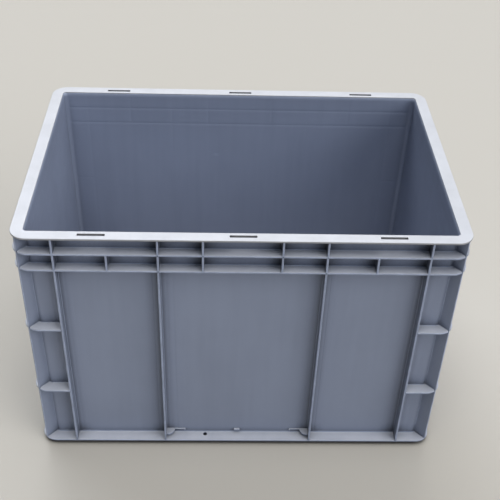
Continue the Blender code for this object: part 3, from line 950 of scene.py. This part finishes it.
def build_clip(node_name):
    """A card clip: a plate with a round corner and a finger, and an edge turned down below it."""
    low, high = side_box(node_name)
    wall = HALF_WIDTH - wall_inset(high.z)
    root = wall - EMBED
    near = min(abs(low.x), abs(high.x))
    far = max(abs(low.x), abs(high.x)) + EMBED
    round_middle = (far - CLIP_ROUND_SHIFT, wall)
    reach = high.y - wall
    skirt_reach = reach - CLIP_SKIRT_SETBACK
    finger_front = wall + CLIP_FINGER_DEPTH
    finger_start = near + CLIP_FINGER_DEPTH
    plate = [(far, root), (far, wall + reach)]
    plate += arc(round_middle, reach, *CLIP_ROUND)
    plate += [(far - reach - CLIP_ROUND_SHIFT, finger_front), (finger_start, finger_front)]
    plate += [(finger_start, wall + CLIP_FINGER_END), (near, wall + CLIP_FINGER_END), (near, root)]
    skirt = [(far, root), (far, wall + skirt_reach)]
    skirt += arc(round_middle, skirt_reach, *CLIP_ROUND)
    skirt.append((far - skirt_reach - CLIP_ROUND_SHIFT, root))
    shape = bmesh.new()
    prism(shape, plate, low.z, high.z)
    prism(shape, skirt, low.z - CLIP_SKIRT, low.z + CLIP_OVERLAP)
    bevelled(side_piece(node_name, shape, -1 if node_name.endswith("left") else 1), 0.00035)


def build_card_stop():
    low, high = side_box("front_card_stop")
    root = HALF_WIDTH - wall_inset(high.z) - EMBED
    shape = bmesh.new()
    prism(shape, [(low.x, root), (high.x, root), (high.x, high.y), (low.x, high.y)], low.z, high.z)
    bevelled(side_piece("front_card_stop", shape), 0.0004)


# ------------------------------------------------------------- underside


FLOOR_RIB_THICKNESS = 0.0025
FLOOR_CELLS_ALONG = 10
FLOOR_CELLS_ACROSS = 7
FLOOR_CELL_RADIUS = 0.003


def build_floor_grid():
    """The grid of ribs under the floor, between the feet of the walls."""
    inset = wall_inset(0) + WALL_THICKNESS - EMBED
    half_x = HALF_LENGTH - inset
    half_y = HALF_WIDTH - inset
    low = FLOOR_BOX[0].z
    high = FLOOR_TOP - FLOOR_THICKNESS + EMBED
    shape = bmesh.new()
    prism(shape, outline(half_x, half_y, TUB_INNER_RADIUS, [], []), low, high)
    piece = finished("floor_grid", shape, "shell_plastic", ["floor_panel"])
    pitch_x = 2 * half_x / FLOOR_CELLS_ALONG
    pitch_y = 2 * half_y / FLOOR_CELLS_ACROSS
    reach = (pitch_x / 2 - FLOOR_RIB_THICKNESS / 2, pitch_y / 2 - FLOOR_RIB_THICKNESS / 2)
    cells = bmesh.new()
    for column in range(FLOOR_CELLS_ALONG):
        for row in range(FLOOR_CELLS_ACROSS):
            middle = (-half_x + (column + 0.5) * pitch_x, -half_y + (row + 0.5) * pitch_y)
            cell = rounded_rectangle(middle, *reach, FLOOR_CELL_RADIUS, 3)
            prism(cells, cell, low - 0.002, high + 0.002)
    cut(piece, cutter("floor_cells", cells))


# ------------------------------------------------------------- stage, light and camera


FLOOR_COLOUR = (0.44, 0.42, 0.385)
FLOOR_REACH = 6.0
BACKDROP_RADIUS = 5.5
BACKDROP_CURVE = 1.5
BACKDROP_HEIGHT = 6.0


def build_floor():
    """A pale floor, with a painted contact shadow close to the crate's foot."""
    graph = Graph("pale_floor")
    # Painted contact shadow: the floor darkens to 0.15 of its colour where the crate shelters it.
    shaded = graph.band(graph.open_share(0.016), 0.80, 0.25)
    colour = graph.mix(shaded, FLOOR_COLOUR, scaled(FLOOR_COLOUR, 0.15))
    graph.join(colour, graph.shader.inputs["Base Color"])
    graph.shader.inputs["Roughness"].default_value = 0.9
    shape = bmesh.new()
    shape.faces.new([shape.verts.new((x * FLOOR_REACH, y * FLOOR_REACH, 0)) for x, y, _ in CORNERS])
    floor = mesh_object("studio_floor", shape)
    floor.data.materials.append(graph.material)


def build_backdrop():
    """A pale curved wall round the stage. It is only seen: it casts no shadow and no light."""
    foot = BACKDROP_RADIUS - BACKDROP_CURVE
    profile = [(foot, 0.002)]
    profile += arc((foot, BACKDROP_CURVE), BACKDROP_CURVE, -80, 0, 10)
    profile.append((BACKDROP_RADIUS, BACKDROP_HEIGHT))
    shape = bmesh.new()
    rings = []
    for distance, z in profile:
        rings.append([Vector((x, y, z)) for x, y in circle((0, 0), distance, 64)])
    skin(shape, rings, cap_start=False, cap_end=False)
    backdrop = mesh_object("studio_backdrop", shape)
    backdrop.data.shade_smooth()
    backdrop.data.materials.append(bpy.data.materials["pale_floor"])
    backdrop.visible_shadow = False
    backdrop.visible_diffuse = False
    backdrop.visible_glossy = False


def heading(azimuth, elevation):
    """The unit vector towards an azimuth and an elevation, both in radians. Azimuth 0 is +Y."""
    level = math.cos(elevation)
    return Vector((math.sin(azimuth) * level, math.cos(azimuth) * level, math.sin(elevation)))


CAMERA_PLACE = Vector((-0.0299, -1.0924, 1.0949))
CAMERA_YAW = 0.043  # radians, to the right
CAMERA_PITCH = 0.671  # radians, down
CAMERA_ROLL = 0.038
CAMERA_LENS = 63.98  # millimetres, on a 36 mm sensor


def build_camera():
    """Stands above and in front of the crate, a little to its left."""
    forward = heading(CAMERA_YAW, -CAMERA_PITCH)
    level = Vector((math.cos(CAMERA_YAW), -math.sin(CAMERA_YAW), 0))
    rise = level.cross(forward)
    right = math.cos(CAMERA_ROLL) * level + math.sin(CAMERA_ROLL) * rise
    up = -math.sin(CAMERA_ROLL) * level + math.cos(CAMERA_ROLL) * rise
    data = bpy.data.cameras.new("camera")
    data.sensor_width = 36.0
    data.lens = CAMERA_LENS
    camera = bpy.data.objects.new("camera", data)
    turn = Matrix((right, up, -forward)).transposed().to_4x4()
    camera.matrix_world = Matrix.Translation(CAMERA_PLACE) @ turn
    bpy.context.scene.collection.objects.link(camera)
    bpy.context.scene.camera = camera


NEUTRAL = (1.0, 1.0, 1.0)
COOL = (0.85, 0.91, 1.0)
SKY_BLUE = (0.6, 0.75, 1.0)
WARM = (1.0, 0.98, 0.93)
# Large soft lights far away: name, azimuth and elevation in degrees, strength, colour.
# Azimuth 0 is behind the crate and 90 is to its right.
STUDIO_LIGHTS = (
    ("key", 128, 30, 1.2, NEUTRAL),
    ("right", 92, 30, 0.5, NEUTRAL),
    ("fill", 205, 40, 0.2, COOL),
    ("front", 165, 25, 0.3, SKY_BLUE),
    ("top", 180, 78, 1.7, WARM),
    ("back", 0, 45, 1.2, NEUTRAL),
    ("back_left", 330, 50, 1.2, COOL),
    ("back_right", 50, 45, 0.4, COOL),
)
LIGHT_WIDTH = 40  # degrees of sky that each light fills


def build_light():
    world = bpy.data.worlds.new("studio_sky")
    world.use_nodes = True
    world.node_tree.nodes["Background"].inputs["Strength"].default_value = 0.0
    bpy.context.scene.world = world
    for name, azimuth, elevation, strength, colour in STUDIO_LIGHTS:
        light = bpy.data.lights.new(f"{name}_light", "SUN")
        light.energy = strength
        light.angle = math.radians(LIGHT_WIDTH)
        light.color = colour
        made = bpy.data.objects.new(light.name, light)
        towards = heading(math.radians(azimuth), math.radians(elevation))
        made.rotation_euler = (-towards).to_track_quat("-Z", "Y").to_euler()
        bpy.context.scene.collection.objects.link(made)


# ------------------------------------------------------------- the whole scene

BUILDERS = {
    "band_ledge": build_band_ledge,
    "corner_ledge": build_corner_ledge,
    "_rib_": build_rib,
    "corner_bracket": build_corner_bracket,
    "grip_bracket": build_grip_bracket,
    "grip_shell": build_grip_shell,
    "card_clip": build_clip,
}

build_camera()
build_light()
build_floor()
build_backdrop()
build_tub()
build_rim()
build_flange()
build_floor_grid()
for node_name in sorted(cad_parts):
    for kind, build in BUILDERS.items():
        if kind in node_name:
            build(node_name)
for depth_name, sign_y in (("front", -1), ("rear", 1)):
    for hand_name, sign_x in (("left", -1), ("right", 1)):
        build_fin(f"{depth_name}_{hand_name}", sign_x, sign_y)
build_card_stop()

bpy.context.scene.view_settings.view_transform = "Standard"
